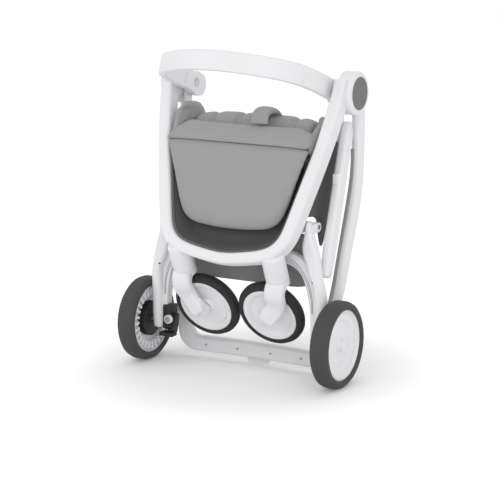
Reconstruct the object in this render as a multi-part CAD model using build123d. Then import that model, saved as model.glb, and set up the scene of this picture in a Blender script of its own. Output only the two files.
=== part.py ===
"""A folded stroller that stands on its rear wheels and on a foot under the folded push handle."""
import os
from math import atan2, cos, degrees, radians, sin

from build123d import *

# Driving sizes in millimetres: X to the right, Y to the back from the rear axle, Z up from the floor
FIT = 0.05
GAP = 0.5

WHEEL_RADIUS = 101.0
WHEEL_MID_X = 257.5
TYRE_WIDTH = 45.0
RIM_RADIUS = 81.5
HUB_OUT_X = 276.0
HUB_IN_X = 239.0
WEB_X = 256.0
WEB_THICK = 7.0
AXLE_RADIUS = 6.0
RIB_COUNT = 28
GEAR_RADIUS = 38.0
GEAR_TEETH = 30

FRAME_LEAN = 20.5
FRAME_TOP_Y = 46.0
FRAME_TOP_Z = 662.0
FRAME_DEPTH = 42.0
FRAME_ROUND = 7.0
INNER_TOP_X = 210.0
OUTER_TOP_X = 239.0
TONGUE_RISE = 40.0

HUB_Y = 112.0
HUB_Z = 662.0
KNOB_RADIUS = 50.0
KNOB_IN_X = 216.0
KNOB_OUT_X = 252.0
BUTTON_RADIUS = 37.7
BUTTON_THICK = 8.0
BUTTON_ROUND = 1.2
BUTTON_PROUD = 1.5
BUTTON_TRAVEL = 3.0
SHAFT_RADIUS = 8.0
PLATE_X = (208.5, 214.5)
CRANK_X = (200.5, 206.5)
BAR_X = (180.0, 198.0)
STRUT_X = (207.5, 231.5)

CRANK_DROP = 102.0
CRANK_SET = -2.0
STRUT_RUN = 93.0
STRUT_FALL = 298.0
STRUT_DEEP = 34.0
STRUT_ROUND = 9.0
PIN_RADIUS = 5.0
OPEN_PIVOT_GAP = 0.6
LEG_PIVOT_RADIUS = 6.0
LUG_X = (154.0, 172.0)
EYE_X = (184.0, 199.0)
EYE_RADIUS = 11.0
SIDE_CLOTH_X = 183.5

GRIP_Z = 34.0
GRIP_TALL = 38.0
GRIP_DEEP = 26.0
GRIP_SCREWS_X = (45.0, 130.0)
WELL_RADIUS = 2.6
WELL_DEEP = 5.0
FOOT_WIDTH = 56.0
FOOT_DEEP = 24.0

BAR_TALL = 47.0
BAR_THICK = 14.0
BAR_ROUND = 4.0
BAR_FRONT_Y = -128.0
BAR_FRONT_Z = 747.0
BAR_END_RADIUS = 27.0
DEE_RADIUS = 12.5
BAR_BUTTON = (48.0, 688.0)
BAR_BUTTON_SIZE = (24.0, 27.0)
BAR_END_Y = 129.0
BAR_END_Z = 655.0

ARCH_DEEP = 24.0
ARCH_ROUND = 4.0
LEG_LUG_X = (199.0, 206.5)

STEM_X = 124.0
STEM_Y = -40.0
STEM_Z = 249.0
STEM_LEAN = 23.3
SOCKET_RADIUS = 27.0
SOCKET_TALL = 66.0
SOCKET_ROUND = 8.0
STEM_TALL = 40.0
STEM_RADIUS = 8.0
NECK_TALL = 15.0
CASTER_TRAIL = 38.0
CASTER_DROP = 104.0
CASTER_RADIUS = 84.0
CASTER_SHOULDER = 76.0
CASTER_RIM = 69.0
CASTER_WIDTH = 28.0
CASTER_FACE = 12.0
CASTER_ROOM = 1.5

STAND_BACK = 12.0

PANEL_LEAN = 9.4
PANEL_THICK = 26.0
PANEL_CROWN = 5.0
CLOTH_THICK = 5.0
BINDING = 5.0
BINDING_TOP = 540.0
LOOP_X = (22.0, 66.0)

# The middle of the whole, seen from above, is the origin of the parts that are written
MIDDLE_Y = 12.9

# Fold pivots in the side view, as (Y, Z)
HUB = (HUB_Y, HUB_Z)
CRANK_PIN = (HUB_Y + CRANK_SET, HUB_Z - CRANK_DROP)
LEG_PIN = (CRANK_PIN[0] - STRUT_RUN, CRANK_PIN[1] - STRUT_FALL)
LEG_PIVOT = (HUB_Y - STRUT_RUN, HUB_Z - STRUT_FALL)


def both(part):
    """A part and its mirror image as one."""
    return part + mirror(part, about=Plane.YZ)


def across(pivot, radius, low_x, high_x):
    """A round bar along X through a side-view point."""
    return extrude(Plane.YZ.offset(low_x) * Pos(*pivot) * Circle(radius), high_x - low_x)


def plate(outline, low_x, high_x):
    """A flat piece: a side-view outline with a thickness along X."""
    return extrude(Plane.YZ.offset(low_x) * outline, high_x - low_x)


def link(start, end, radius):
    """A side-view outline with two round ends."""
    run = Vector(*end) - Vector(*start)
    middle = (Vector(*start) + Vector(*end)) / 2
    turn = degrees(atan2(run.Y, run.X))
    return Pos(middle.X, middle.Y) * SlotCenterToCenter(run.length, 2 * radius, rotation=turn)


def tube(stations, depth_way=(0, 1, 0), corner=0.45):
    """A bent bar through stations (X, Y, Z, width, depth), its depth kept along one direction."""
    points = [Vector(*s[:3]) for s in stations]
    sections = []
    for i, station in enumerate(stations):
        before = points[max(i - 1, 0)]
        after = points[min(i + 1, len(points) - 1)]
        along = (after - before).normalized()
        wide = Vector(*depth_way).cross(along).normalized()
        width, depth = station[3:]
        round_off = corner * min(width, depth)
        section = RectangleRounded(width, depth, round_off)
        sections.append(Plane(origin=points[i], x_dir=wide, z_dir=along) * section)
    return loft(sections)


def band(inner, outer, depth, place):
    """A U-shaped band between two half outlines, drawn from an arm's end to the middle."""
    edges = []
    for points in (inner, outer):
        edges.append(Spline(*points, *[(-u, v) for u, v in reversed(points[:-1])]))
    ends = [Line(edges[0] @ t, edges[1] @ t) for t in (0, 1)]
    return extrude(place * make_face(edges + ends), depth)


def turned(profile, centre, way):
    """A profile of (radius, distance along the axis) turned about an axis."""
    axis = Plane(origin=centre, z_dir=way)
    face = Plane.XZ * Polygon(*profile, align=None)
    return axis * revolve(face, Axis.Z)


# Front frame: a leaning U with caster sockets, hub plates and the lugs of the rear frame
def front_plane(drop=0.0, inward=0.0):
    """The frame's front face, shifted down along it and into the frame."""
    lean = radians(FRAME_LEAN)
    front = Plane(origin=(0, FRAME_TOP_Y, FRAME_TOP_Z), x_dir=(1, 0, 0), z_dir=(0, -cos(lean), sin(lean)))
    return Plane(origin=front.from_local_coords((0, -drop, -inward)), x_dir=front.x_dir, z_dir=front.z_dir)


def stem_plane():
    """The lower end of the right caster's socket."""
    lean = radians(STEM_LEAN)
    return Plane(origin=(STEM_X, STEM_Y, STEM_Z), x_dir=(1, 0, 0), z_dir=(0, -sin(lean), cos(lean)))


FRAME_CORNER = (126, -351)
FRAME_INNER = [(INNER_TOP_X + 2, TONGUE_RISE), (INNER_TOP_X, 0), (204, -47), (196, -98), (180, -176), (166, -238),
               (151, -303), (142, -330), FRAME_CORNER, (104, -363), (62, -373), (0, -380)]
FRAME_OUTER = [(OUTER_TOP_X + 1, TONGUE_RISE), (OUTER_TOP_X, 0), (234, -50), (226, -98), (210, -178), (196, -240),
               (180, -309), (167, -345), (145, -373), (113, -389), (66, -399), (0, -406)]


def make_front_frame():
    body = band(FRAME_INNER, FRAME_OUTER, -FRAME_DEPTH, front_plane())
    body = fillet(body.edges().filter_by(GeomType.BSPLINE), FRAME_ROUND)
    ear = Pos(*HUB) * Circle(26) + Polygon((58, 636), (HUB_Y, 636), (HUB_Y, 688), (66, 688), align=None)
    body += both(plate(ear, *PLATE_X))
    lug = link((-36, LEG_PIVOT[1]), LEG_PIVOT, EYE_RADIUS)
    body += both(plate(lug, *LUG_X))
    socket = extrude(stem_plane() * Circle(SOCKET_RADIUS), SOCKET_TALL)
    socket = fillet(socket.edges().sort_by(Axis.Z)[-1], SOCKET_ROUND)
    body += both(socket)
    body -= both(extrude(stem_plane() * Circle(STEM_RADIUS + FIT), STEM_TALL + 2))
    body -= both(across(HUB, KNOB_RADIUS + GAP, PLATE_X[1], KNOB_OUT_X + 10))
    body -= both(across(HUB, SHAFT_RADIUS, BAR_X[0], PLATE_X[1]))
    body -= both(across(LEG_PIVOT, LEG_PIVOT_RADIUS, LUG_X[0], LUG_X[1]))
    return body


def make_hub_shafts():
    return both(across(HUB, SHAFT_RADIUS, BAR_X[0], KNOB_OUT_X - 14))


def make_leg_pivots():
    return both(across(LEG_PIVOT, LEG_PIVOT_RADIUS, LUG_X[0], EYE_X[1]))


# Push handle: two bent arms, the grip between them and a round knob at each hub
ARM = [
    (232, 134, 640, 28, 36),
    (231.5, 150, 590, 27, 31),
    (230, 152, 530, 26, 30),
    (229, 147, 450, 26, 32),
    (222, 124, 335, 26, 37),
    (216, 104, 250, 26, 34),
    (208, 87, 175, 28, 29),
    (198, 73.5, 108, 33, GRIP_DEEP),
]


def make_grip():
    """The lower U of the handle: a front outline cut from a slab that is bowed to the back."""
    low = GRIP_Z - GRIP_TALL / 2
    high = GRIP_Z + GRIP_TALL / 2
    rim = Polygon((-214, 112), (-199, low), (199, low), (214, 112), (181, 112), (166, high), (-166, high),
                  (-181, 112), align=None)
    outside = rim.vertices().group_by(Axis.Y)[0]
    rim = fillet(outside, 48)
    inside = [v for v in rim.vertices() if abs(v.Y - high) < 1 and abs(abs(v.X) - 166) < 1]
    rim = fillet(inside, 20)
    front = ThreePointArc((-240, 54), (0, 71), (240, 54))
    back = ThreePointArc((-240, 54 + GRIP_DEEP), (0, 71 + GRIP_DEEP), (240, 54 + GRIP_DEEP))
    ends = [Line(front @ t, back @ t) for t in (0, 1)]
    slab = extrude(make_face([front, back] + ends), 130)
    grip = extrude(Plane.XZ * rim, -150) & slab
    grip = fillet(grip.edges().filter_by(lambda e: e.length > 60), 8)
    for x in GRIP_SCREWS_X:
        grip -= both(extrude(Plane.XZ.offset(-60) * Pos(x, GRIP_Z) * Circle(WELL_RADIUS), -10 - WELL_DEEP))
    return grip


def make_handle():
    knob = across(HUB, KNOB_RADIUS, KNOB_IN_X, KNOB_OUT_X)
    knob = fillet(knob.edges().group_by(Axis.X)[-1], 6)
    seat = across(HUB, BUTTON_RADIUS + FIT, KNOB_OUT_X - BUTTON_THICK - BUTTON_TRAVEL, KNOB_OUT_X + 10)
    bore = across(HUB, SHAFT_RADIUS + FIT, KNOB_IN_X - 10, KNOB_OUT_X - 12)
    clear = across(HUB, KNOB_RADIUS + 15, KNOB_IN_X - 40, KNOB_IN_X)
    arm = tube(ARM) + knob - clear - seat - bore
    return make_grip() + both(arm)


def make_handle_strips(handle):
    stations = []
    for x, y, z, w, d in ARM[2:7]:
        stations.append((x - w * 0.26, y - d / 2 + 1.5, z, w * 0.4, 6))
    strip = tube(stations) - handle
    return both(strip)


def make_knob_button():
    cap_in = KNOB_OUT_X + BUTTON_PROUD - BUTTON_THICK
    cap = across(HUB, BUTTON_RADIUS, cap_in, cap_in + BUTTON_THICK)
    return fillet(cap.edges().group_by(Axis.X)[-1], BUTTON_ROUND)


def make_stand_foot(handle):
    half_top = FOOT_WIDTH / 2
    half_low = half_top - 6
    low = GRIP_Z - GRIP_TALL / 2 + 6
    front = Plane.XZ.offset(-(84 + STAND_BACK - FOOT_DEEP / 2))
    outline = Polygon((-half_low, 0), (half_low, 0), (half_top, low), (-half_top, low), align=None)
    return extrude(front * outline, -FOOT_DEEP) - handle


# Top bar: a flat band bent into a U, hung on the hub shafts
def make_top_bar():
    rise = BAR_FRONT_Z - HUB_Z
    run = HUB_Y - BAR_FRONT_Y
    reach = (rise ** 2 + run ** 2) ** 0.5
    place = Plane(origin=(0, *HUB), x_dir=(1, 0, 0), z_dir=(0, -rise / reach, -run / reach))
    out = BAR_X[1]
    into = BAR_X[0]
    outer = [(out, 0), (out, 70), (178, 176), (104, 236), (0, reach + BAR_THICK / 2)]
    inner = [(into, 0), (into, 70), (162, 169), (96, 224), (0, reach - BAR_THICK / 2)]
    body = band(inner, outer, BAR_TALL / 2, place) + band(inner, outer, -BAR_TALL / 2, place)
    body = fillet(body.edges().filter_by(GeomType.BSPLINE), BAR_ROUND)
    body += both(plate(link(HUB, (BAR_END_Y, BAR_END_Z), BAR_END_RADIUS), *BAR_X))
    slit = plate(link((70, 690), (60, 667), 2.2), BAR_X[0] - 1, BAR_X[0] + 3)
    dee = Pos(*HUB) * (Circle(DEE_RADIUS) - Pos(-DEE_RADIUS, 0) * Rectangle(6, 4 * DEE_RADIUS))
    body -= both(slit + plate(dee, BAR_X[0] - 1, BAR_X[0] + 3))
    body -= both(across(HUB, SHAFT_RADIUS + FIT, BAR_X[0] - 5, BAR_X[1] + 5))
    pocket = Plane.YZ.offset(BAR_X[1] - 6) * Pos(*BAR_BUTTON) * Rectangle(*BAR_BUTTON_SIZE)
    return body - both(extrude(pocket, 12))


def make_bar_button():
    low = BAR_X[1] - 2.5
    width, height = BAR_BUTTON_SIZE
    face = Plane.YZ.offset(low) * Pos(*BAR_BUTTON) * RectangleRounded(width - 2 * FIT, height - 2 * FIT, 1)
    return extrude(face, 3.5)


# Fold cranks and struts
def make_crank():
    body = plate(link(HUB, CRANK_PIN, 13), *CRANK_X)
    body += across(CRANK_PIN, PIN_RADIUS, CRANK_X[0], STRUT_X[1] + 1.5)
    return body - across(HUB, SHAFT_RADIUS + FIT, CRANK_X[0] - 1, CRANK_X[1] + 1)


def make_strut():
    top = Vector(*CRANK_PIN)
    low = Vector(*LEG_PIN)
    along = (top - low).normalized()
    side = Vector(-along.Y, along.X) * STRUT_DEEP / 2
    ends = [low - along * 13, low + along * 60, top, top + along * 36]
    halves = [0.72, 1.06, 1.0, 0.6]
    right = [end - side * half for end, half in zip(ends, halves)]
    left = [end + side * half for end, half in zip(ends, halves)]
    outline = Polygon(*[(p.X, p.Y) for p in right + left[::-1]], align=None)
    outline = fillet(outline.vertices(), 8)
    body = plate(outline, *STRUT_X)
    body = fillet(body.edges().group_by(Axis.X)[0] + body.edges().group_by(Axis.X)[-1], STRUT_ROUND)
    hook = low + along * 214 + side
    middle = (STRUT_X[0] + STRUT_X[1]) / 2
    body += Pos(middle, hook.X - 3, hook.Y) * Box(10, 12, 22)
    slot_low = top + along * 16
    slot_high = top + along * 30
    body -= plate(link((slot_low.X, slot_low.Y), (slot_high.X, slot_high.Y), 2.5), *STRUT_X)
    body -= across(CRANK_PIN, PIN_RADIUS + FIT, *STRUT_X)
    return body - across(LEG_PIN, PIN_RADIUS + OPEN_PIVOT_GAP, *STRUT_X)


# Rear frame: two splayed legs joined by an arch
def make_rear_frame():
    leg = tube([
        (189, -6, 379, 8, 20),
        (188, -6, 362, 15, 23),
        (188, -6, 346, 24, 24),
        (190, -7, 322, 36, 25),
        (197, -8, 298, 38, 25),
        (204.5, -10.5, 270, 34, 25),
        (212, -11.5, 247, 28, 26),
        (217, -6, 205, 28, 34),
        (218, -2, 165, 29, 34),
        (218, 0, 100, 29, 34),
        (218, 0, 86, 25, 30),
    ])
    inner = [(191, 100), (191, 165), (184, 208), (160, 262), (100, 281), (0, 288)]
    outer = [(222, 100), (221, 172), (212, 218), (182, 282), (108, 311), (0, 318)]
    arch = band(inner, outer, -ARCH_DEEP, Plane.XZ.offset(ARCH_DEEP / 2 - 3))
    arch = fillet(arch.edges().filter_by(GeomType.BSPLINE), ARCH_ROUND)
    body = arch + both(leg)
    lug = plate(link((-12, LEG_PIN[1] - 2), LEG_PIN, 11), *LEG_LUG_X)
    pin = across(LEG_PIN, PIN_RADIUS, LEG_LUG_X[0], STRUT_X[1] + 1.5)
    body += both(lug + pin)
    return body - both(across((0, WHEEL_RADIUS), AXLE_RADIUS, 190, HUB_IN_X))


def make_leg_eyes(rear_frame):
    """The pivot eyes that carry the legs, set against the backs of the legs."""
    eye = plate(link((-4, LEG_PIVOT[1]), LEG_PIVOT, EYE_RADIUS), *EYE_X)
    eye -= across(LEG_PIVOT, LEG_PIVOT_RADIUS + FIT, EYE_X[0] - 1, EYE_X[1] + 1)
    return both(largest(eye - rear_frame))


def make_rear_axles():
    return both(across((0, WHEEL_RADIUS), AXLE_RADIUS, 206, HUB_OUT_X - 6))


def make_rear_hub():
    out = HUB_OUT_X - WHEEL_MID_X
    into = HUB_IN_X - WHEEL_MID_X
    web = WEB_X - WHEEL_MID_X
    bore = AXLE_RADIUS + FIT
    profile = [
        (bore, web), (bore, out - 4), (14, out - 4), (17, web + WEB_THICK + 1), (54, web + WEB_THICK),
        (60, web + WEB_THICK + 5), (RIM_RADIUS - 8, web + WEB_THICK + 5), (RIM_RADIUS - 5, out),
        (RIM_RADIUS, out - 2), (RIM_RADIUS, into + 2), (RIM_RADIUS - 4, into), (RIM_RADIUS - 6, web),
    ]
    hub = turned(profile, (WHEEL_MID_X, 0, WHEEL_RADIUS), (1, 0, 0))
    dome = across((0, WHEEL_RADIUS), 12, HUB_OUT_X - 5, HUB_OUT_X + 1)
    hub += fillet(dome.edges().group_by(Axis.X)[-1], 3)
    rib = Pos(HUB_IN_X + 9.5, 0, WHEEL_RADIUS) * Pos(0, 0, 66) * Box(15, 6, 18)
    for i in range(RIB_COUNT):
        hub += rib.rotate(Axis((0, 0, WHEEL_RADIUS), (1, 0, 0)), i * 360 / RIB_COUNT)
    return hub


def make_rear_tyre():
    half = TYRE_WIDTH / 2
    profile = [
        (RIM_RADIUS, -half + 4), (RIM_RADIUS + 4, -half), (WHEEL_RADIUS - 9, -half), (WHEEL_RADIUS - 3, -half + 5),
        (WHEEL_RADIUS, -half + 13), (WHEEL_RADIUS, half - 13), (WHEEL_RADIUS - 3, half - 5),
        (WHEEL_RADIUS - 9, half), (RIM_RADIUS + 4, half), (RIM_RADIUS, half - 4),
    ]
    return turned(profile, (WHEEL_MID_X, 0, WHEEL_RADIUS), (1, 0, 0))


def make_brake_gear():
    low = HUB_IN_X + 2
    gear = across((0, WHEEL_RADIUS), GEAR_RADIUS, low, WEB_X)
    tooth = Pos((low + WEB_X) / 2, 0, WHEEL_RADIUS + GEAR_RADIUS) * Box(WEB_X - low, 4, 8)
    for i in range(GEAR_TEETH):
        gear += tooth.rotate(Axis((0, 0, WHEEL_RADIUS), (1, 0, 0)), i * 360 / GEAR_TEETH)
    return gear - across((0, WHEEL_RADIUS), AXLE_RADIUS + 1, low - 1, WEB_X + 1)


# Brake on the left leg: a housing, a hinged pedal and a slim lever
BRAKE_PIVOT = (4.0, 112.0)


def make_brake_housing(rear_frame):
    body = Pos(-191, 2, 112) * Box(22, 30, 62)
    body = fillet(body.edges().filter_by(Axis.X), 8)
    body -= across(BRAKE_PIVOT, PIN_RADIUS + FIT, -190, -170)
    return body - rear_frame


def make_brake_pedal():
    arm = plate(link(BRAKE_PIVOT, (-4, 82), 9), -179.5, -172)
    pad = Pos(-188, -14, 72) * Box(34, 26, 9)
    pad = fillet(pad.edges().filter_by(Axis.X), 3)
    for i in range(5):
        pad += Pos(-200 + 6 * i, -14, 77) * Box(2.4, 22, 2)
    return arm + pad + across(BRAKE_PIVOT, PIN_RADIUS, -189.5, -172)


# Casters: a one-armed fork with a swivelling stem, and a wheel that trails inwards
def caster_plane(side):
    lean = radians(STEM_LEAN)
    return Plane(origin=(side * STEM_X, STEM_Y, STEM_Z), x_dir=(-side, 0, 0), z_dir=(0, -sin(lean), cos(lean)))


def make_caster_fork(side):
    front = side
    face = CASTER_FACE + GAP
    hub = Plane.XZ * Pos(CASTER_TRAIL, -CASTER_DROP)
    arm = tube([
        (0, front * 6, -9, 47, 38),
        (0, front * 17, -16, 49, 34),
        (1, front * (face + 13), -28, 50, 24),
        (3, front * (face + 11.5), -52, 49, 21),
        (13, front * (face + 11), -76, 45, 20),
        (CASTER_TRAIL, front * (face + 10), -CASTER_DROP, 30, 18),
    ])
    tip = extrude(hub * Circle(15), -front * (face + 18)) - extrude(hub * Circle(15), -front * (face + 2))
    arm += fillet(tip.edges().group_by(Axis.Y)[-1 if front > 0 else 0], 5)
    arm -= Pos(0, 0, 50 - GAP) * Box(200, 200, 100)
    room = hub * Circle(CASTER_RADIUS + CASTER_ROOM)
    arm -= extrude(room, -front * face) + extrude(room, front * 100)
    neck = Pos(0, 0, -NECK_TALL / 2 - GAP) * Cylinder(SOCKET_RADIUS, NECK_TALL)
    stem = Pos(0, 0, STEM_TALL / 2 - 5) * Cylinder(STEM_RADIUS, STEM_TALL + 10)
    boss = extrude(hub * Circle(13), -front * (face + 12)) - extrude(hub * Circle(13), -front * face)
    pin = hub * Circle(AXLE_RADIUS)
    axle = extrude(pin, -front * (face + 8)) + extrude(pin, front * (CASTER_WIDTH - CASTER_FACE - 4))
    return caster_plane(side) * (neck + stem + arm + boss + axle)


def caster_axis(side):
    """The wheel's axle: centre of the wheel's width, and the way to its front."""
    middle = CASTER_FACE - CASTER_WIDTH / 2
    place = caster_plane(side)
    front = place.y_dir * side
    centre = place.from_local_coords(Vector(CASTER_TRAIL, side * middle, -CASTER_DROP))
    return centre, front


def make_caster_hub(side):
    centre, front = caster_axis(side)
    half = CASTER_WIDTH / 2
    bore = AXLE_RADIUS + FIT
    profile = [
        (bore, -half + 6), (bore, half - 2), (15, half - 2), (20, half - 9), (50, half - 9), (58, half - 3),
        (CASTER_RIM - 3, half - 1), (CASTER_RIM - 1, half - 2), (CASTER_RIM - 1, -half + 2),
        (CASTER_RIM - 6, -half + 2), (CASTER_RIM - 8, -half + 10), (15, -half + 10), (15, -half + 6),
    ]
    return turned(profile, centre, front)


def make_caster_tyre(side):
    centre, front = caster_axis(side)
    half = CASTER_WIDTH / 2
    inner = CASTER_RIM - 1
    profile = [
        (inner, -half + 2), (inner + 2, -half), (CASTER_SHOULDER, -half), (CASTER_RADIUS - 3, -half + 4),
        (CASTER_RADIUS, -half + 10), (CASTER_RADIUS, half - 10), (CASTER_RADIUS - 3, half - 4),
        (CASTER_SHOULDER, half), (inner + 2, half), (inner, half - 2),
    ]
    return turned(profile, centre, front)


# Soft goods of the seat, all carried by the front frame
def pillow(outline, place, layers):
    """A padded piece: one closed outline at several levels (height, scale) over a plane."""
    rim = make_face(Spline(*outline, periodic=True))
    return loft([place.offset(height) * scale(rim, by=size) for height, size in layers], ruled=True)


def largest(part):
    """The main solid that a cut leaves, without the offcuts."""
    return max(part.solids(), key=lambda solid: solid.volume)


def mirrored(half):
    """A closed outline from its right half, drawn from the top middle to the bottom middle."""
    return half + [(-u, v) for u, v in reversed(half[1:-1])]


def row(half):
    """Stations of a cushion that lies along X, from those of its right half."""
    return half + [(-x, y, z, w, d) for x, y, z, w, d in reversed(half[:-1])]


def make_seat_panel(*behind):
    lean = radians(PANEL_LEAN)
    place = Plane(origin=(0, -21, 450), x_dir=(1, 0, 0), z_dir=(0, -cos(lean), sin(lean)))
    half = [(0, 103), (100, 103), (168, 102), (188, 96), (179, 58), (164, 10), (148, -43), (130, -79), (102, -96),
            (60, -103), (0, -106)]
    half_thick = PANEL_THICK / 2
    layers = [(-half_thick, 0.92), (-half_thick / 2, 0.985), (0, 1.0), (half_thick / 2, 0.97), (half_thick, 0.87),
              (half_thick + PANEL_CROWN, 0.6)]
    body = pillow(mirrored(half), place, layers)
    for piece in behind:
        body = largest(body - piece)
    return body


def make_seat_bolster(frame):
    half = [
        (200, 9, 562, 30, 42),
        (178, 8, 567, 40, 52),
        (110, 7, 571, 46, 58),
        (0, 6, 571, 48, 60),
    ]
    return tube(row(half), corner=0.48) - frame


def make_back_cushion(bolster):
    half = [
        (158, 88, 540, 92, 70),
        (134, 88, 542, 120, 88),
        (108, 88, 540, 100, 74),
        (70, 88, 541, 118, 90),
        (0, 88, 541, 120, 92),
    ]
    return tube(row(half), corner=0.4) - bolster


def make_wing(cushion, bolster):
    outline = [(6, 590), (26, 624), (70, 628), (110, 617), (136, 594), (136, 552), (110, 520), (70, 508), (34, 518),
               (10, 552)]
    middle = (72, 566)
    centred = [(y - middle[0], z - middle[1]) for y, z in outline]
    place = Plane(origin=(169.5, *middle), x_dir=(0, 1, 0), z_dir=(1, 0, 0))
    return pillow(centred, place, [(-9, 0.9), (-3, 1.0), (3, 1.0), (9, 0.9)]) - cushion - bolster


def make_side_cloth(frame):
    outline = [(-10, 396), (6, 430), (28, 484), (48, 540), (70, 547), (100, 544), (96, 494), (78, 436), (60, 396),
               (26, 386)]
    middle = (44, 456)
    centred = [(y - middle[0], z - middle[1]) for y, z in outline]
    place = Plane(origin=(SIDE_CLOTH_X, *middle), x_dir=(0, 1, 0), z_dir=(1, 0, 0))
    half_thick = CLOTH_THICK / 2
    return largest(pillow(centred, place, [(-half_thick, 0.97), (0, 1.0), (half_thick, 0.97)]) - frame)


def make_footwell(frame):
    half = [(0, 86), (120, 84), (168, 74), (160, 20), (152, -60), (112, -112), (60, -126), (0, -130)]
    place = front_plane(254, FRAME_DEPTH - CLOTH_THICK)
    layers = [(-CLOTH_THICK / 2, 0.99), (0, 1.0), (CLOTH_THICK / 2, 0.99)]
    return largest(pillow(mirrored(half), place, layers) - frame)


def make_edge_binding(frame):
    corner = FRAME_INNER.index(FRAME_CORNER)
    lip = [(x - BINDING, v) for x, v in FRAME_INNER[:corner]]
    lip += [(x - 0.7 * BINDING, v + 0.7 * BINDING) for x, v in FRAME_INNER[corner:corner + 1]]
    lip += [(x, v + BINDING) for x, v in FRAME_INNER[corner + 1:]]
    strip = band(lip, FRAME_INNER, -BINDING * 1.4, front_plane(0, FRAME_ROUND + 2))
    above = Pos(0, 0, BINDING_TOP + 200) * Box(600, 400, 400)
    return strip - frame - above


def make_carry_loop(bolster, cushion):
    """A padded loop that starts at the roll and arches back over the cushion."""
    outer = Spline((17, 592), (17, 614), (24, 632), (38, 637), (58, 632), (78, 624), (97, 610), (102, 592))
    inner = Spline((22, 592), (22.5, 605), (28, 614), (45, 617), (62, 616.5), (78, 614), (88, 606), (91, 592))
    feet = [Line(outer @ t, inner @ t) for t in (0, 1)]
    loop = plate(make_face([outer, inner] + feet), *LOOP_X)
    return largest(loop - bolster - cushion)


def make_basket():
    half = [(0, 43), (90, 43), (160, 35), (186, -4), (182, -30), (150, -41), (90, -43), (0, -43)]
    place = Plane(origin=(0, 17.9, 261), x_dir=(1, 0, 0), z_dir=(0, -1, 0))
    return pillow(mirrored(half), place, [(-2.4, 0.985), (0, 1.0), (2.4, 0.985)])


def side_name(name, side):
    return name + ("_left" if side < 0 else "_right")


def make_parts():
    handle = make_handle()
    rear_frame = make_rear_frame()
    front_frame = make_front_frame()
    bolster = make_seat_bolster(front_frame)
    cushion = make_back_cushion(bolster)
    footwell = make_footwell(front_frame)
    binding = make_edge_binding(front_frame)
    parts = {
        "front_frame": front_frame,
        "seat_bolster": bolster,
        "back_cushion": cushion,
        "seat_panel": make_seat_panel(bolster, footwell, binding, front_frame),
        "footwell": footwell,
        "edge_binding": binding,
        "carry_loop": make_carry_loop(bolster, cushion),
        "basket": make_basket(),
        "hub_shafts": make_hub_shafts(),
        "leg_pivots": make_leg_pivots(),
        "handle": handle,
        "handle_strips": make_handle_strips(handle),
        "stand_foot": make_stand_foot(handle),
        "top_bar": make_top_bar(),
        "rear_frame": rear_frame,
        "leg_eyes": make_leg_eyes(rear_frame),
        "rear_axles": make_rear_axles(),
        "brake_housing": make_brake_housing(rear_frame),
        "brake_pedal": make_brake_pedal(),
    }
    pairs = {
        "knob_button": make_knob_button(),
        "wing": make_wing(cushion, bolster),
        "side_cloth": make_side_cloth(front_frame + binding),
        "bar_button": make_bar_button(),
        "crank": make_crank(),
        "strut": make_strut(),
        "rear_hub": make_rear_hub(),
        "rear_tyre": make_rear_tyre(),
        "brake_gear": make_brake_gear(),
    }
    for name, part in pairs.items():
        parts[side_name(name, 1)] = part
        parts[side_name(name, -1)] = mirror(part, about=Plane.YZ)
    for side in (-1, 1):
        parts[side_name("caster_fork", side)] = make_caster_fork(side)
        parts[side_name("caster_hub", side)] = make_caster_hub(side)
        parts[side_name("caster_tyre", side)] = make_caster_tyre(side)
    return parts


if __name__ == "__main__":
    os.makedirs("parts", exist_ok=True)
    for node, solid in make_parts().items():
        export_step(Pos(0, -MIDDLE_Y, 0) * solid, "parts/" + node + ".step")
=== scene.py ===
"""A folded stroller, dressed for its portrait: white mouldings, grey cloth, rubber tyres."""
import math

import bmesh
import bpy
import numpy as np
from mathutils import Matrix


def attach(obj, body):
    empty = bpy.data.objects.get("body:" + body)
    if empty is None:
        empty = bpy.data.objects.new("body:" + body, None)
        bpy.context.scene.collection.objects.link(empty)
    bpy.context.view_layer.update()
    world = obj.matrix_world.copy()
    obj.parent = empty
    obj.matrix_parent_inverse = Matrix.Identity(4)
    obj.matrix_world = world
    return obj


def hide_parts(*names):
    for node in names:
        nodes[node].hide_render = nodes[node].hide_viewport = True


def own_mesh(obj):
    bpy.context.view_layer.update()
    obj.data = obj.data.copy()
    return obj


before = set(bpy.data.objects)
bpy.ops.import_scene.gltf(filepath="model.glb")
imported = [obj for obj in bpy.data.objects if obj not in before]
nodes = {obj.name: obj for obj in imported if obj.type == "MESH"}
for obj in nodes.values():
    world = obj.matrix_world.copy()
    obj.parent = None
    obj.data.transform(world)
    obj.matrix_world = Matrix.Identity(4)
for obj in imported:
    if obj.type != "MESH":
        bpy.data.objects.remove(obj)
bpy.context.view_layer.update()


# Front frame, handle, top bar, struts and rear frame: white nylon mouldings with a fine
# spark-eroded grain. They come from the mould satin, and pick up a trace of floor dust low down.
class Shade:
    """One output socket; operators add the Math node that works the expression out."""

    def __init__(self, finish, socket):
        self.finish = finish
        self.socket = socket

    def maths(self, operation, left, right=0.0):
        return self.finish.node("ShaderNodeMath", {"operation": operation}, {0: left, 1: right})

    def __add__(self, other):
        return self.maths("ADD", self, other)

    def __mul__(self, other):
        return self.maths("MULTIPLY", self, other)

    def __sub__(self, other):
        return self.maths("SUBTRACT", self, other)

    def __rsub__(self, other):
        return self.maths("SUBTRACT", other, self)

    def __gt__(self, other):
        return self.maths("GREATER_THAN", self, other)

    def __lt__(self, other):
        return self.maths("LESS_THAN", self, other)

    def sin(self):
        return self.maths("SINE", self)

    def size(self):
        return self.maths("ABSOLUTE", self)

    def either(self, other):
        return self.maths("MAXIMUM", self, other)

    def at_most(self, other):
        return self.maths("MINIMUM", self, other)

    def positive(self):
        return self.either(0.0)

    __radd__ = __add__
    __rmul__ = __mul__


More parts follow.
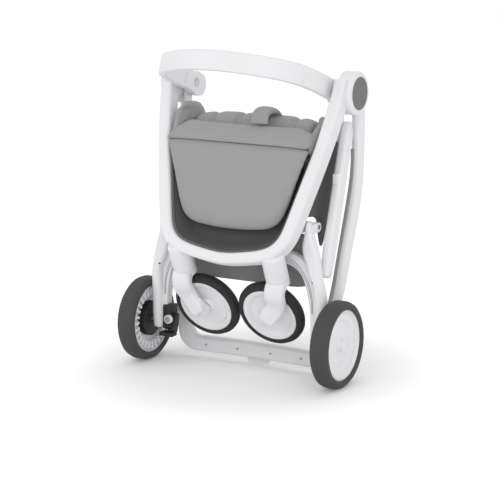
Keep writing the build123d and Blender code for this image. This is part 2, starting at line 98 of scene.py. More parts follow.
class Nodes:
    """A node tree, and one way to add any node to it."""

    def __init__(self, tree):
        self.tree = tree

    def node(self, kind, settings, values, out=0):
        made = self.tree.nodes.new(kind)
        for name, value in settings.items():
            setattr(made, name, value)
        for socket, value in values.items():
            self.join(made.inputs[socket], value)
        return Shade(self, made.outputs[out])

    def join(self, socket, value):
        if isinstance(value, Shade):
            self.tree.links.new(value.socket, socket)
        else:
            socket.default_value = value

    def seen(self):
        """1 for a ray that ends in the camera, straight or by way of a mirror or glass, else 0."""
        kinds = ("Is Camera Ray", "Is Glossy Ray", "Is Transmission Ray")
        camera, mirror, glass = [self.node("ShaderNodeLightPath", {}, {}, kind) for kind in kinds]
        return camera.either(mirror).either(glass)


class Finish(Nodes):
    """A material in the making, built round one Principled shader."""

    def __init__(self, name, roughness, **sockets):
        self.material = bpy.data.materials.new(name)
        self.material.use_nodes = True
        super().__init__(self.material.node_tree)
        self.shader = self.tree.nodes["Principled BSDF"]
        self.feed("Roughness", roughness)
        for socket, value in sockets.items():
            self.feed(socket.replace("_", " "), value)
        self.place = self.node("ShaderNodeTexCoord", {}, {}, "Object")

    def feed(self, socket, value):
        self.join(self.shader.inputs[socket], value)

    def noise(self, size, detail=2.0):
        """Cloudy noise between 0 and 1, with lumps of the given size in metres."""
        values = {"Vector": self.place, "Scale": 1.0 / size, "Detail": detail}
        return self.node("ShaderNodeTexNoise", {}, values)

    def axis(self, name):
        """One coordinate of the surface in metres."""
        return self.node("ShaderNodeSeparateXYZ", {}, {0: self.place}, name)

    def blend(self, amount, low, high):
        """A colour between two, by an amount from 0 to 1."""
        values = {"Factor": amount, 6: low, 7: high}
        return self.node("ShaderNodeMix", {"data_type": "RGBA"}, values, 2)

    def grain(self, height, depth):
        """Surface relief of a depth in metres, from heights between 0 and 1."""
        bump = self.node("ShaderNodeBump", {}, {"Height": height, "Distance": depth})
        self.feed("Normal", bump)

    def paint(self, *names):
        for name in names:
            nodes[name].data.materials.clear()
            nodes[name].data.materials.append(self.material)


MOULD_CLOUD = 0.05
MOULD_GRAIN_DEPTH = 0.00004
DUST_TOP = 0.2
DUST_MOST = 0.35


def moulded(name, colour, dust, roughness, grain_size):
    """Satin moulded plastic: cloudy gloss, fine grain and a little dust towards the floor."""
    finish = Finish(name, roughness, Specular_IOR_Level=0.42)
    cloud = finish.noise(MOULD_CLOUD, 4.0)
    low = (1 - finish.axis("Z") * (1 / DUST_TOP)).positive() * cloud * DUST_MOST
    finish.feed("Base Color", finish.blend(low, colour, dust))
    finish.feed("Roughness", roughness - 0.05 + cloud * 0.1)
    finish.grain(finish.noise(grain_size, 1.0), MOULD_GRAIN_DEPTH)
    return finish


FRAME_WHITE = (0.85, 0.85, 0.87, 1)
FLOOR_DUST = (0.62, 0.61, 0.60, 1)
frame_white = moulded("frame_white", FRAME_WHITE, FLOOR_DUST, 0.40, 0.0008)
frame_white.paint("front_frame", "handle", "top_bar", "rear_frame", "leg_eyes", "stand_foot")
for side in ("left", "right"):
    frame_white.paint("strut_" + side, "crank_" + side, "caster_fork_" + side, "bar_button_" + side)


# Arch grooves and screws of the rear frame and the grip: two grooves follow each side of the
# arch, drawn as thin beads painted dark with the grooves' shade, and blackened steel screws with a
# cross recess hold the mouldings together.
def grid_piece(name, points, finish):
    """A mesh over a grid of points: neighbours both ways make a quad, and each row is a ring."""
    rows, columns = points.shape[:2]
    index = np.arange(rows * columns).reshape(rows, columns)
    index = np.hstack([index, index[:, :1]])
    corners = [index[:-1, :-1], index[1:, :-1], index[1:, 1:], index[:-1, 1:]]
    quads = np.stack(corners, -1).reshape(-1, 4)
    mesh = bpy.data.meshes.new(name)
    mesh.from_pydata(points.reshape(-1, 3).tolist(), [], quads.tolist())
    work = bmesh.new()
    work.from_mesh(mesh)
    bmesh.ops.remove_doubles(work, verts=work.verts, dist=1e-6)
    bmesh.ops.recalc_face_normals(work, faces=work.faces)
    work.to_mesh(mesh)
    work.free()
    mesh.shade_smooth()
    piece = bpy.data.objects.new(name, mesh)
    bpy.context.scene.collection.objects.link(piece)
    mesh.materials.append(finish.material)
    return piece


def through(points, count, closed=False):
    """Points spread along a smooth line that passes through the given ones (Catmull-Rom)."""
    points = np.asarray(points, float)
    if closed:
        ring = np.vstack([points[-1:], points, points[:2]])
    else:
        before, after = 2 * points[:1] - points[1:2], 2 * points[-1:] - points[-2:-1]
        ring = np.vstack([before, points, after])
    spans = len(ring) - 3
    t = np.linspace(0, spans, count, endpoint=not closed)
    i = np.minimum(t.astype(int), spans - 1)
    t = (t - i)[:, None]
    a, b, c, d = ring[i], ring[i + 1], ring[i + 2], ring[i + 3]
    return b + 0.5 * t * (c - a + t * (2 * a - 5 * b + 4 * c - d + t * (3 * (b - c) + d - a)))


def sideways(path):
    """Unit vectors square to a flat path, to its left."""
    way = np.gradient(path, axis=0)
    return np.stack([-way[:, 1], way[:, 0]], 1) / np.linalg.norm(way, axis=1, keepdims=True)


def bead(name, line, radius, finish):
    """A thin round line: rings across the way of the line, closed to a point at both ends."""
    way = np.gradient(line, axis=0)
    way /= np.linalg.norm(way, axis=1, keepdims=True)
    side = np.cross(way, (0, 1, 0))
    side /= np.linalg.norm(side, axis=1, keepdims=True)
    up = np.cross(side, way)
    turn = np.linspace(0, 2 * np.pi, 8, endpoint=False)[None, :, None]
    size = np.full((len(line), 1, 1), radius)
    size[[0, -1]] = 0.0
    points = line[:, None] + size * (np.cos(turn) * side[:, None] + np.sin(turn) * up[:, None])
    return grid_piece(name, points, finish)


def turned(name, profile, spot, way, finish, recess=0.0):
    """A turned piece: rings of (radius, height) round an axis.

    A cross recess, where a depth is given, is sunk into the rings near the middle.
    """
    way = np.asarray(way) / np.linalg.norm(way)
    side = np.cross(way, (0.0, 0.0, 1.0) if abs(way[2]) < 0.9 else (1.0, 0.0, 0.0))
    side /= np.linalg.norm(side)
    up = np.cross(way, side)
    turn = np.linspace(0, 2 * np.pi, 48, endpoint=False)
    radius, height = np.asarray(profile, float).T
    in_cross = (np.abs(np.sin(2 * turn))[None] < 0.5) & (radius < 0.6 * radius.max())[:, None]
    height = height[:, None] - recess * in_cross
    ring = np.cos(turn)[:, None] * side + np.sin(turn)[:, None] * up
    points = np.asarray(spot) + radius[:, None, None] * ring + height[..., None] * way
    return grid_piece(name, points, finish)


def on_face(node, x, z):
    """The point of a moulding that is met from the front at a place (X, Z), and its normal."""
    _, spot, normal, _ = nodes[node].ray_cast((x, -1.0, z), (0, 1, 0))
    return np.array(spot), np.array(normal)


# Painted shade: the beads lie on the arch's face, dark as the shade inside its grooves.
groove_painted_shade = moulded("groove_painted_shade", (0.16, 0.16, 0.165, 1), (0.3, 0.3, 0.3, 1), 0.7, 0.0006)
GROOVE_LINE = [(0.140, 0.289), (0.158, 0.279), (0.174, 0.262), (0.187, 0.240), (0.1935, 0.220),
               (0.1975, 0.200), (0.1985, 0.182), (0.1985, 0.166)]
GROOVE_STEPS = 60
GROOVE_GAP = 0.006
GROOVE_RADIUS = 0.0006
ARCH_X, ARCH_Z = 0.150, 0.278
groove_path = through(GROOVE_LINE, GROOVE_STEPS)
for side, side_name in ((-1, "left"), (1, "right")):
    arch_front = on_face("rear_frame", side * ARCH_X, ARCH_Z)[0][1]
    for inward, place in ((0.0, "outer"), (GROOVE_GAP, "inner")):
        nearing = inward * np.linspace(1, 0.25, GROOVE_STEPS)[:, None]
        path = groove_path - nearing * sideways(groove_path)
        line = np.stack([side * path[:, 0], np.full(GROOVE_STEPS, arch_front), path[:, 1]], 1)
        groove = bead("arch_groove_" + place + "_" + side_name, line, GROOVE_RADIUS, groove_painted_shade)
        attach(groove, "rear_frame")

BLACKENED = (0.035, 0.035, 0.037, 1)
screw_black = Finish("blackened_steel", 0.45, Base_Color=BLACKENED, Metallic=0.8)
screw_black.feed("Roughness", 0.4 + screw_black.noise(0.0006) * 0.2)
SCREW_PROFILE = [(0, 0.0006), (0.0008, 0.0006), (0.0011, 0.0005), (0.0015, 0.0004),
                 (0.0020, 0.0002), (0.0023, 0), (0.0023, -0.001), (0, -0.001)]
SCREW_RECESS = 0.0005
SCREWS = [("handle", -0.130, 0.034), ("handle", -0.045, 0.034), ("handle", 0.045, 0.034),
          ("handle", 0.130, 0.034), ("rear_frame", -0.204, 0.244), ("rear_frame", 0.204, 0.243)]
for count, (moulding, x, z) in enumerate(SCREWS, 1):
    spot, way = on_face(moulding, x, z)
    screw = turned("screw_%d" % count, SCREW_PROFILE, spot, way, screw_black, SCREW_RECESS)
    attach(screw, moulding)

# Knob buttons and inlay strips: mid-grey mouldings. The buttons sit in the knobs
# and have a smoother face, the strips are soft rubber pressed into the handle's arms. The
# strips' grey is painted shade: the shade that falls on the arms' inner faces.
CAP_GREY = (0.155, 0.155, 0.16, 1)
CAP_SCUFF = (0.24, 0.24, 0.245, 1)
# Painted shade: the strips' grey stands for the shade on the handle arms' inner faces.
STRIP_PAINTED_SHADE = (0.36, 0.36, 0.365, 1)
STRIP_PAINTED_SHADE_SCUFF = (0.42, 0.42, 0.425, 1)
cap_grey = moulded("cap_grey", CAP_GREY, CAP_SCUFF, 0.5, 0.0006)
strip_grey = moulded("strip_grey", STRIP_PAINTED_SHADE, STRIP_PAINTED_SHADE_SCUFF, 0.65, 0.0009)
strip_grey.paint("handle_strips")
cap_grey.paint("knob_button_left", "knob_button_right")

# Hub shafts, leg pivots and rear axles: turned steel pins with fine rings left by the lathe.
# They sit in bores of the mouldings, which turn on them.
TURNED_STEEL = (0.52, 0.52, 0.54, 1)
LATHE_TURN = 9000.0
steel = Finish("turned_steel", 0.32, Base_Color=TURNED_STEEL, Metallic=1.0)
rings = (steel.axis("X") * LATHE_TURN).sin()
steel.feed("Roughness", 0.3 + rings * 0.05)
steel.grain(rings, 0.00002)
steel.paint("hub_shafts", "leg_pivots", "rear_axles")

# Rear wheels: a white dished hub with a ring of ribs on its inner side, and a plain grey tyre.
# The tyre is foam rubber, matt and slightly mottled; a black brake gear sits behind the hub.
wheel_white = moulded("wheel_white", (0.86, 0.86, 0.88, 1), FLOOR_DUST, 0.36, 0.0007)


def rubber(name, colour, scuff):
    """Matt rubber: fine pores and pale scuffs."""
    finish = Finish(name, 0.75, Specular_IOR_Level=0.35)
    cloud = finish.noise(0.03, 5.0)
    finish.feed("Base Color", finish.blend(cloud * 0.5, colour, scuff))
    finish.feed("Roughness", 0.66 + cloud * 0.16)
    finish.grain(finish.noise(0.0011, 2.0), 0.00008)
    return finish


BLACK = (0.016, 0.016, 0.017, 1)
BLACK_SCUFF = (0.05, 0.05, 0.05, 1)
tyre_grey = rubber("tyre_grey", (0.058, 0.058, 0.061, 1), (0.085, 0.085, 0.088, 1))
black_plastic = moulded("black_plastic", BLACK, BLACK_SCUFF, 0.5, 0.0006)
for side in ("left", "right"):
    wheel_white.paint("rear_hub_" + side)
    tyre_grey.paint("rear_tyre_" + side)
    black_plastic.paint("brake_gear_" + side)

# Foot brake on the left leg: black mouldings, the pedal with a ribbed pad. A white boss with a
# grey cap closes the lock's spring on the front of the housing.
black_plastic.paint("brake_housing", "brake_pedal")
BRAKE_BOSS = [(0, 0), (0.0095, 0), (0.0105, 0.001), (0.0105, 0.008), (0.0095, 0.0095),
              (0.0078, 0.0097), (0.0076, 0.008), (0, 0.008)]
BRAKE_CAP = [(0, 0.0078), (0.0074, 0.0078), (0.0074, 0.0095), (0.0066, 0.0105), (0.003, 0.0109),
             (0, 0.011)]
BOSS_X, BOSS_Z = -0.184, 0.109
boss_spot = on_face("brake_housing", BOSS_X, BOSS_Z)[0]
cap_pale = moulded("cap_pale", (0.34, 0.34, 0.35, 1), CAP_SCUFF, 0.45, 0.0006)
for name, profile, finish, slot in (("brake_boss", BRAKE_BOSS, frame_white, "frame_white"),
                                    ("brake_cap", BRAKE_CAP, cap_pale, "cap_grey")):
    piece = turned(name, profile, boss_spot, (0, -1, 0), finish)
    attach(piece, "rear_frame")

# Casters: one-armed white forks that swivel under the front frame, with white dished wheels.
# The tyres are near-black rubber.
tyre_black = rubber("tyre_black", (0.022, 0.022, 0.024, 1), (0.04, 0.04, 0.042, 1))
for side in ("left", "right"):
    wheel_white.paint("caster_hub_" + side)
    tyre_black.paint("caster_tyre_" + side)


# Seat panel: the folded seat's face, a foam pad in light grey melange cloth that hangs between
# the frame's arms. Its cover is sewn along its top and swells over the foam.
def pad(outline, centre, across, upward, front, back, finish, name, fullness):
    """A closed pad: rings of one outline from the front's middle over the rim to the back's middle.

    A ring's share of the outline is |cos|, its height front or back times |sin|, both raised to
    a power that sets how full the pad is.
    """
    outward = np.cross(across, upward)
    lean = np.linspace(np.pi / 2, -np.pi / 2, 41)
    power = 2.0 / fullness
    share = np.abs(np.cos(lean)) ** power
    share[[0, -1]] = 0.0
    height = np.where(lean > 0, front, back) * np.sign(lean) * np.abs(np.sin(lean)) ** power
    rim = outline[:, :1] * np.asarray(across) + outline[:, 1:] * np.asarray(upward)
    points = np.asarray(centre) + share[:, None, None] * rim + height[:, None, None] * outward
    return grid_piece(name, points, finish)


STITCH_PITCH = 0.0042
STITCH_HALF = 0.0005
WEAVE_DEPTH = 0.00025


def cloth_finish(name, colour, thread, shine, pitch=0.0007, sewn=None):
    """Plain-woven melange cloth: two thread directions, flecks of a paler thread, soft sheen.

    A sewn line, where one is given by its height, is a row of 3 mm stitches sunk into the cloth
    and painted darker: painted shade of the sunk row along the seam.
    """
    finish = Finish(name, 0.9, Specular_IOR_Level=0.2, Sheen_Weight=shine, Sheen_Roughness=0.5)
    turn = 2 * math.pi / pitch
    along = (finish.axis("X") * turn).sin()
    up = ((finish.axis("Z") + finish.axis("Y") * 0.7) * turn).sin()
    weave = along * up * 0.5 + 0.5
    fleck = finish.noise(0.0022, 3.0)
    cloud = finish.noise(0.09, 3.0)
    shade = finish.blend(fleck * 0.55 + weave * 0.2 + cloud * 0.2, colour, thread)
    relief = weave * 0.6 + fleck * 0.4
    if sewn:
        in_row = (finish.axis("Z") - sewn).size() < STITCH_HALF
        in_stitch = (finish.axis("X") * (2 * math.pi / STITCH_PITCH)).sin() > -0.5
        stitch_dent_and_shade = in_row * in_stitch
        # Painted shade: stitches darkened to 0.7 of the cloth's colour, as shade in their sunk row.
        shade = finish.blend(stitch_dent_and_shade * 0.5, shade, tuple(0.7 * part for part in colour[:3]) + (1,))
        relief = relief - stitch_dent_and_shade
    finish.feed("Base Color", shade)
    finish.feed("Roughness", 0.84 + fleck * 0.12)
    finish.grain(relief, WEAVE_DEPTH)
    return finish


def points_of(mesh):
    """A mesh's points, one row each."""
    spots = np.empty(len(mesh.vertices) * 3)
    mesh.vertices.foreach_get("co", spots)
    return spots.reshape(-1, 3)


def puffed(piece, swell, cap, voxel=0.005):
    """Fills the piece's cover with air pressure, moving no point by more than the cap."""
    bpy.context.view_layer.objects.active = piece
    remesh = piece.modifiers.new("even", "REMESH")
    remesh.mode = "VOXEL"
    remesh.voxel_size = voxel
    remesh.use_smooth_shade = True
    bpy.ops.object.modifier_apply(modifier="even")
    start = points_of(piece.data)
    cover = piece.modifiers.new("cover", "CLOTH")
    cover.settings.use_pressure = True
    cover.settings.uniform_pressure_force = swell
    cover.settings.effector_weights.gravity = 0.0
    cover.settings.quality = 5
    for step in range(1, 21):
        bpy.context.scene.frame_set(step)
    shaped = piece.evaluated_get(bpy.context.evaluated_depsgraph_get())
    move = points_of(shaped.data) - start
    piece.modifiers.remove(cover)
    bpy.context.scene.frame_set(1)
    length = np.maximum(np.linalg.norm(move, axis=1, keepdims=True), 1e-9)
    move *= np.minimum(1.0, cap / length)
    piece.data.vertices.foreach_set("co", (start + move).reshape(-1))
    piece.data.update()
    smooth = piece.modifiers.new("fine", "SUBSURF")
    smooth.levels = smooth.render_levels = 1


def both_halves(half):
    """A closed outline from its right half, which starts and ends on the middle line."""
    return half + [(-x, v) for x, v in half[-2:0:-1]]


CLOTH_LIGHT = (0.335, 0.335, 0.335, 1)
THREAD_LIGHT = (0.42, 0.42, 0.42, 1)
PANEL_SEAM_Z = 0.5478
cloth_panel = cloth_finish("cloth_panel", CLOTH_LIGHT, THREAD_LIGHT, 0.12, sewn=PANEL_SEAM_Z)
PANEL_LEAN = math.radians(9.4)
PANEL_HALF = [(0, 0.103), (0.060, 0.103), (0.120, 0.103), (0.165, 0.102), (0.187, 0.097),
              (0.188, 0.090), (0.179, 0.058), (0.164, 0.010), (0.148, -0.043), (0.130, -0.079),
              (0.102, -0.096), (0.060, -0.103), (0, -0.106)]
PANEL_CENTRE = (0, -0.0339, 0.450)
PANEL_FRONT, PANEL_BACK = 0.014, 0.011
PANEL_START = 0.985
panel_up = (0, math.sin(PANEL_LEAN), math.cos(PANEL_LEAN))
panel_loop = through(both_halves(PANEL_HALF), 240, True) * PANEL_START
panel = pad(panel_loop, PANEL_CENTRE, (1, 0, 0), panel_up, PANEL_FRONT, PANEL_BACK, cloth_panel,
            "seat_panel_pad", 4.5)
puffed(panel, 4.0, 0.004)
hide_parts("seat_panel")
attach(panel, "frame")

# Seat bolster: the lip of the seat over the panel. Its cover starts at the panel's top seam,
# rises backwards over the foam and narrows to the seam's two corners.
cloth_light = cloth_finish("cloth_light", CLOTH_LIGHT, THREAD_LIGHT, 0.12)


def ease(value):
    """A smooth step from 0 to 1."""
    value = np.clip(value, 0, 1)
    return value * value * (3 - 2 * value)


LIP_HALF = 0.1860
LIP_SEAM_Y, LIP_SEAM_Z = -0.0345, 0.5482
LIP_LEFT_LOW, LIP_RIGHT_LOW, LIP_HIGH = 0.019, 0.028, 0.038
LIP_CORNER = 0.006
LIP_TUCK = 0.006
lip_x = np.sin(np.linspace(-np.pi / 2, np.pi / 2, 141)) * LIP_HALF
from_corner = LIP_HALF - np.abs(lip_x)
lip_end = np.sqrt(np.clip(from_corner / LIP_CORNER, 0, 1))
lip_low = np.where(lip_x < 0, LIP_LEFT_LOW, LIP_RIGHT_LOW)
lip_rise = lip_end * (lip_low + (LIP_HIGH - lip_low) * ease(from_corner / 0.045))
lip_depth = 0.045 + 0.012 * ease(from_corner / 0.050)
top_run = np.linspace(0, 1, 40)
back_run = np.linspace(0, 1, 14)[1:]
base_run = np.linspace(0, 1, 22)[1:-1]
lip_y = np.concatenate([top_run, 1 + 0.06 * np.sin(np.pi * back_run), 1 - base_run])
lip_top = np.concatenate([1 - (1 - top_run) ** 1.9, 1 - back_run, 0 * base_run])
lip_base = np.concatenate([0 * top_run, back_run, 1 - base_run])
lip_points = np.empty((len(lip_x), len(lip_y), 3))
lip_points[..., 0] = lip_x[:, None]
lip_points[..., 1] = LIP_SEAM_Y + lip_depth[:, None] * lip_y
lip_points[..., 2] = LIP_SEAM_Z + lip_rise[:, None] * lip_top - LIP_TUCK * lip_base
lip_points[[0, -1]] = lip_points[[0, -1]].mean(1, keepdims=True)
bolster = grid_piece("seat_bolster_lip", lip_points, cloth_light)
puffed(bolster, 3.0, 0.002, 0.004)
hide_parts("seat_bolster")
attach(bolster, "frame")


# Back cushion: the seat's back in the same light cloth, folded down behind the lip. Sewn
# channels split its foam into five puffs.
def squared(wave, power):
    """A sine or cosine with fuller shoulders: its size raised to a power, its sign kept."""
    return np.sign(wave) * np.abs(wave) ** power


def roll(name, centres, radii, finish, fullness):
    """A roll along X: superellipse sections whose centre and radii follow the given stations."""
    turn = np.linspace(0, 2 * np.pi, 64, endpoint=False)
    power = 2.0 / fullness
    end = np.sin(np.linspace(0, np.pi, len(centres)))[:, None] ** 0.16
    end[[0, -1]] = 0.0
    points = np.empty((len(centres), len(turn), 3))
    points[..., 0] = centres[:, :1]
    points[..., 1] = centres[:, 1:2] + end * radii[:, :1] * squared(np.cos(turn), power)
    points[..., 2] = centres[:, 2:3] + end * radii[:, 1:2] * squared(np.sin(turn), power)
    return grid_piece(name, points, finish)


QUILT_SEAMS = (-0.108, -0.036, 0.036, 0.108)
QUILT_SEAM_WIDE = 0.007
QUILT_HALF = 0.157
QUILT_Y, QUILT_Z = 0.0751, 0.541
QUILT_STEPS = 201
quilt_x = np.sin(np.linspace(-np.pi / 2, np.pi / 2, QUILT_STEPS)) * QUILT_HALF
pinch = sum(np.exp(-((quilt_x - seam) / QUILT_SEAM_WIDE) ** 2) for seam in QUILT_SEAMS)
quilt_line = [quilt_x, np.full(QUILT_STEPS, QUILT_Y), np.full(QUILT_STEPS, QUILT_Z)]
quilt_radii = np.stack([0.043 - 0.007 * pinch, 0.0625 - 0.009 * pinch], 1)
quilt = roll("back_cushion_quilt", np.stack(quilt_line, 1), quilt_radii, cloth_light, 3.0)
puffed(quilt, 3.0, 0.003, 0.004)
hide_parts("back_cushion")
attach(quilt, "frame")

# Wings: padded side bolsters of the seat's back, one inside each arm of the frame. Below the top
# bar's ends their front edges flare outwards to the arms; the right one has slumped back a little.
REAR_AXLE_Y = -0.0129
WING_LOOP = [(0.002, 0.545), (0.006, 0.562), (0.020, 0.592), (0.031, 0.621), (0.036, 0.6295),
             (0.070, 0.6275), (0.102, 0.6205), (0.115, 0.613), (0.129, 0.596), (0.136, 0.575),
             (0.134, 0.548), (0.110, 0.520), (0.070, 0.508), (0.034, 0.514), (0.006, 0.530)]
WING_X = 0.1695
WING_HALF = 0.008
WING_START = 0.97
WING_FLARE = 0.0095
wing_middle = np.array([0.072, 0.566])
wing_loop = (through(WING_LOOP, 120, True) - wing_middle) * WING_START
for side, name, slump in ((-1, "wing_left", 0.0), (1, "wing_right", 0.038)):
    wing_centre = (side * WING_X, wing_middle[0] + REAR_AXLE_Y, wing_middle[1])
    wing = pad(wing_loop, wing_centre, (0, 1, 0), (0, 0, 1), WING_HALF, WING_HALF, cloth_light,
               name + "_pad", 5.0)
    spots = points_of(wing.data)
    back = slump * ease((spots[:, 2] - 0.560) / 0.05) * ease((0.085 - spots[:, 1]) / 0.06)
    spots[:, 2] -= 0.48 * slump * ease((spots[:, 2] - 0.585) / 0.04)
    in_front, below = (0.070 - spots[:, 1]) / 0.06, (0.619 - spots[:, 2]) / 0.014
    spots[:, 0] += side * WING_FLARE * ease(in_front) * ease(below)
    spots[:, 1] += back
    wing.data.vertices.foreach_set("co", spots.reshape(-1))
    puffed(wing, 3.0, 0.002, 0.004)
    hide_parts(name)
    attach(wing, "frame")


# Footwell sling: one layer of dark cloth, stretched in the frame's U and hollow in its middle.
# Its edge is bound with woven tape, folded over and sewn down all along the frame.
def thicken(piece, thick):
    """Gives a single layer its wall, half to each side."""
    wall = piece.modifiers.new("thickness", "SOLIDIFY")
    wall.thickness = thick
    wall.offset = 0.0


def flat_area(outline):
    """Area inside a closed outline, by the shoelace sum."""
    after = np.roll(outline, -1, 0)
    return abs(np.sum(outline[:, 0] * after[:, 1] - after[:, 0] * outline[:, 1])) / 2


cloth_dark = cloth_finish("cloth_dark", (0.075, 0.075, 0.075, 1), (0.105, 0.105, 0.105, 1), 0.1)
FRAME_LEAN = math.radians(20.5)
FRAME_TOP = np.array([0, 0.0331, 0.662])
lean_across = np.array((1, 0, 0))
lean_in = np.array((0, math.cos(FRAME_LEAN), -math.sin(FRAME_LEAN)))
lean_up = np.array((0, math.sin(FRAME_LEAN), math.cos(FRAME_LEAN)))
FOOTWELL_HALF = [(0, 0.104), (0.120, 0.104), (0.172, 0.102), (0.1795, 0.088), (0.1635, 0.014),
                 (0.1485, -0.050), (0.1395, -0.076), (0.1240, -0.0955), (0.1025, -0.1075),
                 (0.0615, -0.1175), (0, -0.1245)]
FOOTWELL_DROP = 0.254
FOOTWELL_DEEP = 0.048
FOOTWELL_LIP = 0.016
FOOTWELL_CUT = 1.2
footwell_loop = through(both_halves(FOOTWELL_HALF), 200, True)
footwell_share = np.linspace(0, 1, 41)
footwell_fade = ease((footwell_share - 0.80) / 0.20)
footwell_in = FOOTWELL_DEEP - (FOOTWELL_DEEP - FOOTWELL_LIP) * footwell_fade
footwell_middle = FRAME_TOP - FOOTWELL_DROP * lean_up
footwell_rim = footwell_loop[:, :1] * lean_across + footwell_loop[:, 1:] * lean_up
footwell_points = (footwell_middle + footwell_share[:, None, None] * footwell_rim
                   + footwell_in[:, None, None] * lean_in)
footwell = grid_piece("footwell_sling", footwell_points, cloth_dark)
thicken(footwell, 0.002)

tape = cloth_finish("woven_tape", (0.13, 0.13, 0.13, 1), (0.19, 0.19, 0.19, 1), 0.1, 0.0011)
BINDING_HALF = [(0.1880, -0.125), (0.1775, -0.176), (0.1635, -0.238), (0.1485, -0.303),
                (0.1395, -0.3285), (0.1242, -0.3492), (0.1030, -0.3607), (0.0615, -0.3705),
                (0, -0.3775)]
BINDING_STEPS = 260
BINDING_IN = 0.0125
BINDING_WIDE, BINDING_DEEP = 0.0027, 0.0036
binding_path = through(BINDING_HALF + [(-x, v) for x, v in BINDING_HALF[-2::-1]], BINDING_STEPS)
binding_turn = np.linspace(0, 2 * np.pi, 24, endpoint=False)
binding_wide = BINDING_WIDE * squared(np.cos(binding_turn), 0.6)
binding_deep = BINDING_DEEP * squared(np.sin(binding_turn), 0.6)
pucker = 1 + 0.06 * np.sin(np.arange(BINDING_STEPS) * 2.1)[:, None]
binding_side = (pucker * binding_wide)[..., None] * sideways(binding_path)[:, None]
binding_flat = binding_path[:, None] + binding_side
binding_points = (FRAME_TOP + binding_flat[..., :1] * lean_across + binding_flat[..., 1:] * lean_up
                  + (BINDING_IN + binding_deep)[:, None] * lean_in)
binding_points[[0, -1]] = binding_points[[0, -1]].mean(1, keepdims=True)
binding = grid_piece("edge_binding_tape", binding_points, tape)
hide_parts("edge_binding")
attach(binding, "frame")

footwell_area = flat_area(footwell_loop) * FOOTWELL_CUT
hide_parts("footwell")
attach(footwell, "frame")


# Side cloths: one layer of the dark cloth on each side, stretched from the frame's arm back to
# the seat. Their lower ends hang free beside the struts.
def sheet(outline, centre, across, upward, thick, finish, name):
    """A flat sheet: rings of one outline, from a point in its middle out to its rim."""
    share = np.linspace(0, 1, 25)
    rim = outline[:, :1] * np.asarray(across) + outline[:, 1:] * np.asarray(upward)
    piece = grid_piece(name, np.asarray(centre) + share[:, None, None] * rim, finish)
    thicken(piece, thick)
    return piece


SIDE_LOOP = [(-0.018, 0.396), (-0.002, 0.430), (0.016, 0.484), (0.036, 0.540), (0.064, 0.547),
             (0.110, 0.547), (0.146, 0.544), (0.142, 0.510), (0.122, 0.452), (0.098, 0.394),
             (0.078, 0.345), (0.066, 0.318), (0.055, 0.314), (0.045, 0.340), (0.038, 0.372),
             (0.022, 0.386)]
SIDE_X = 0.18375
SIDE_THICK = 0.003
side_middle = np.array([0.064, 0.448])
side_loop = through(SIDE_LOOP, 120, True) - side_middle
for side, name in ((-1, "side_cloth_left"), (1, "side_cloth_right")):
    side_centre = (side * SIDE_X, side_middle[0] + REAR_AXLE_Y, side_middle[1])
    flank = sheet(side_loop, side_centre, (0, 1, 0), (0, 0, 1), SIDE_THICK, cloth_dark,
                  name + "_sheet")
    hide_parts(name)
    flat_area(side_loop)
    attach(flank, "frame")
    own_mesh(flank)

# Basket: the rear basket's cloth, one mid-grey layer. With the stroller folded it hangs flat
# between the rear legs, behind the casters.
cloth_mid = cloth_finish("cloth_mid", (0.25, 0.25, 0.25, 1), (0.31, 0.31, 0.31, 1), 0.1)
BASKET_HALF = [(0, 0.080), (0.090, 0.082), (0.158, 0.084), (0.167, 0.076), (0.168, 0.050),
               (0.180, 0.006), (0.184, -0.012), (0.180, -0.030), (0.150, -0.041),
               (0.090, -0.043), (0, -0.043)]
BASKET_CENTRE = (0, 0.0050, 0.261)
BASKET_THICK = 0.003
basket_loop = through(both_halves(BASKET_HALF), 160, True)
basket = sheet(basket_loop, BASKET_CENTRE, (1, 0, 0), (0, 0, 1), BASKET_THICK, cloth_mid,
               "basket_sheet")
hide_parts("basket")
flat_area(basket_loop)
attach(basket, "rear_frame")

# Carry loop: a padded loop of the light cloth, thickest in its middle. It starts behind the lip
# and arches back over the cushion, where both its ends are sewn in.
LOOP_LINE = [(0.0180, 0.590), (0.0195, 0.602), (0.0280, 0.6125), (0.0430, 0.6172),
             (0.0580, 0.6165), (0.0730, 0.6125), (0.0855, 0.6035), (0.0900, 0.592)]
LOOP_THICK = [0.0040, 0.0055, 0.0082, 0.0093, 0.0085, 0.0065, 0.0045, 0.0040]
LOOP_X, LOOP_HALF = 0.044, 0.0220
LOOP_STEPS, LOOP_TURNS = 90, 48
loop_line = through(LOOP_LINE, LOOP_STEPS)
loop_thick = through(np.array(LOOP_THICK)[:, None], LOOP_STEPS)
loop_out = sideways(loop_line)
loop_turn = np.linspace(0, 2 * np.pi, LOOP_TURNS, endpoint=False)
strap_out = squared(np.sin(loop_turn), 0.9)
loop_points = np.empty((LOOP_STEPS, LOOP_TURNS, 3))
loop_points[..., 0] = LOOP_X + LOOP_HALF * squared(np.cos(loop_turn), 0.7)
loop_points[..., 1] = loop_line[:, :1] + REAR_AXLE_Y + loop_thick * loop_out[:, :1] * strap_out
loop_points[..., 2] = loop_line[:, 1:] + loop_thick * loop_out[:, 1:] * strap_out
loop_points[[0, -1]] = loop_points[[0, -1]].mean(1, keepdims=True)
carry = grid_piece("carry_loop_pad", loop_points, cloth_light)
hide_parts("carry_loop")
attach(carry, "frame")
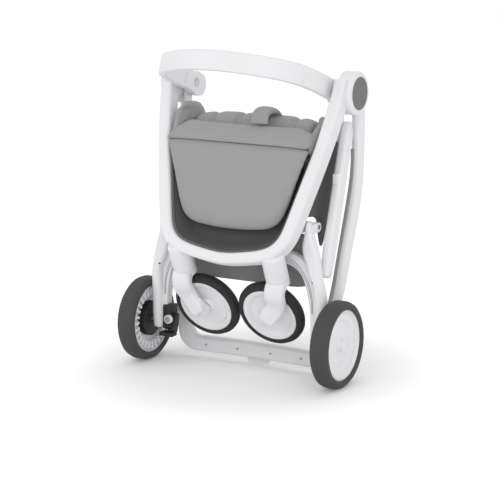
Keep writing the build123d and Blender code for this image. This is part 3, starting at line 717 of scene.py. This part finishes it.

# Studio: a pale floor, two soft lamps and an even sky. The floor brightens away from the stroller
# by painted light: a glow seen only by the camera, weak near the stroller and white further out,
# which leaves painted shade round the stroller. The camera stands in front, to the right, a little
# above the top bar.
FLOOR_HALF = 9
FLOOR_PALE = (0.92, 0.92, 0.925, 1)
FLOOR_GLOW_NEAR = (0.3, 0.3, 0.3, 1)
WHITE = (1, 1, 1, 1)
UNLIT = (0, 0, 0, 1)
floor_mesh = bpy.data.meshes.new("floor")
floor_corners = [(-1, -1), (1, -1), (1, 1), (-1, 1)]
floor_mesh.from_pydata([(FLOOR_HALF * x, FLOOR_HALF * y, 0) for x, y in floor_corners], [],
                       [(0, 1, 2, 3)])
floor = bpy.data.objects.new("floor", floor_mesh)
bpy.context.scene.collection.objects.link(floor)
floor_finish = Finish("studio_floor", 0.9, Base_Color=FLOOR_PALE, Specular_IOR_Level=0.1,
                      Emission_Strength=0.30)
floor_x = floor_finish.axis("X")
floor_y = floor_finish.axis("Y")
# Painted light: camera-only glow, weak near the stroller and full further out, so the floor near it
# is painted darker.
glow_far_share = ((floor_x * floor_x + floor_y * floor_y) * 6.0 - 0.36).positive()
painted_glow = floor_finish.blend(glow_far_share.at_most(1.0), FLOOR_GLOW_NEAR, WHITE)
floor_finish.feed("Emission Color", floor_finish.blend(floor_finish.seen(), UNLIT, painted_glow))
floor_mesh.materials.append(floor_finish.material)


def lamp(name, power, size, place, aim):
    """A square soft lamp at a place, turned to face the point it aims at."""
    light = bpy.data.lights.new(name, "AREA")
    light.energy = power
    light.size = size
    stand = bpy.data.objects.new(name, light)
    stand.location = place
    way = np.array(aim) - np.array(place)
    flat = math.hypot(way[0], way[1])
    stand.rotation_euler = (math.atan2(flat, -way[2]), 0, math.atan2(-way[0], way[1]))
    bpy.context.scene.collection.objects.link(stand)


SEAT_MIDDLE = (0, 0, 0.35)
lamp("key", 14, 1.8, (1.9, -2.2, 1.5), SEAT_MIDDLE)
lamp("fill", 8, 2.0, (-1.8, -1.8, 1.5), SEAT_MIDDLE)

world = bpy.data.worlds.new("studio")
world.use_nodes = True
bpy.context.scene.world = world
sky = Nodes(world.node_tree)
backdrop = world.node_tree.nodes["Background"]
backdrop.inputs["Color"].default_value = WHITE
sky.join(backdrop.inputs["Strength"], sky.seen() * 0.20 + 0.80)

CAMERA_DOWN = 12.131
CAMERA_ROUND = 29.611
lens = bpy.data.cameras.new("camera")
lens.lens = 129.6
lens.sensor_width = 36
camera = bpy.data.objects.new("camera", lens)
camera.location = (2.041, -3.5519, 1.172)
camera.rotation_euler = (math.radians(90 - CAMERA_DOWN), 0, math.radians(CAMERA_ROUND))
bpy.context.scene.collection.objects.link(camera)
bpy.context.scene.camera = camera
bpy.context.scene.view_settings.view_transform = "Standard"
